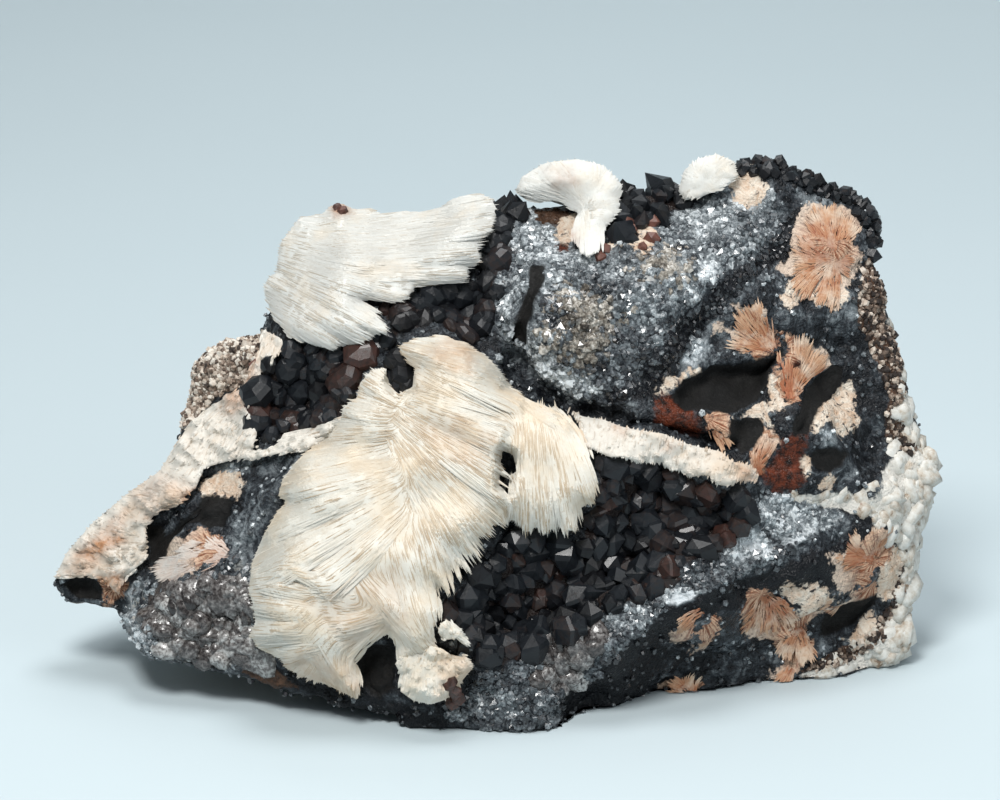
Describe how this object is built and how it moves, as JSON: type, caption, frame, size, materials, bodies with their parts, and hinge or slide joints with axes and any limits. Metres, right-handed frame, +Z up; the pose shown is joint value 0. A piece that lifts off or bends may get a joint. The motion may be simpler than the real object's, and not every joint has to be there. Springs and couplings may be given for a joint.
{
  "type": "mineral specimen",
  "caption": "Crested white barite blades grown over dark quartz crystals on a leaning dark quartz rock that stands on a flat base.",
  "frame": {"origin": "centre of the bounding box's footprint, on the surface the specimen stands on", "axes": "+X along the specimen's length, to the right as the crested face is seen; -Y out of the crested face; +Z up"},
  "size_m": [0.2399, 0.1133, 0.1347],
  "materials": {
    "rock": "grey to black banded quartz, granular and faintly glossy, with tan host rock and pink-orange barite patches",
    "white_barite": "satin white bladed crystals, cream in the grooves",
    "cream_barite": "cream to pinkish fibrous crystals",
    "dark_quartz": "glossy near-black to red-brown coated crystal points"
  },
  "bodies": {
    "root": {"matrix": "rock", "main_barite_crest": "white_barite", "upper_barite_crest": "white_barite", "top_barite_crest": "white_barite", "small_barite_crest": "white_barite", "barite_seam": "cream_barite", "left_barite_crust": "cream_barite", "bowl_quartz_crystals": "dark_quartz", "pocket_quartz_crystals": "dark_quartz", "top_quartz_cluster": "dark_quartz"}
  },
  "joints": []
}
